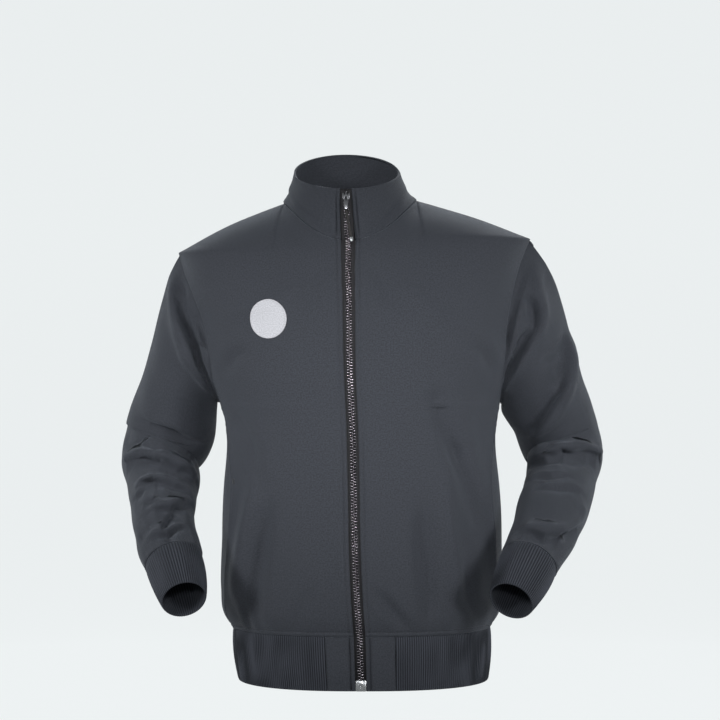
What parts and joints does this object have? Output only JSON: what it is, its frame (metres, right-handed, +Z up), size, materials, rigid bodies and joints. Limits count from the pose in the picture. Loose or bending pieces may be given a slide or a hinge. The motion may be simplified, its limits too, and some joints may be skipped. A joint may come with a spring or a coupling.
{
  "type": "track jacket",
  "caption": "Track jacket in hollow worn form, with stand-up collar, full front zip, side pockets and ribbed hem and cuffs.",
  "frame": {"origin": "middle of the neck opening at the height of the shoulder seams' inner ends, where the wearer's shoulders hold the jacket", "axes": "+Z up, -Y out of the front, +X towards the wearer's left"},
  "size_m": [0.6511, 0.3406, 0.7049],
  "materials": {
    "cloth": "charcoal double-knit polyester with a soft sheen",
    "rib": "dark 1x1 rib knit",
    "tape": "black woven zip tape and cord",
    "teeth": "gunmetal zip teeth",
    "metal": "bright nickel-plated zip metal",
    "badge": "pale bare patch"
  },
  "bodies": {
    "jacket": {"front_right": "cloth", "front_left": "cloth", "back": "cloth", "sleeve_right": "cloth", "sleeve_left": "cloth", "collar": "cloth", "hem_tab_right": "cloth", "hem_tab_left": "cloth", "pocket_facing_right": "cloth", "pocket_facing_left": "cloth", "hem_rib": "rib", "cuff_right": "rib", "cuff_left": "rib", "zip_tape_right": "tape", "zip_tape_left": "tape", "zip_chain": "teeth", "zip_slider": "metal", "zip_box": "metal", "badge": "badge"},
    "pull": {"zip_pull": "metal", "pull_cord": "tape", "pull_end": "metal"}
  },
  "joints": [
    {"name": "pull_swing", "type": "hinge", "parent": "jacket", "child": "pull", "pos_m": [-0.01416, -0.09281, 0.00388], "axis": [-1, 0, 0], "range_deg": [0, 120]}
  ]
}
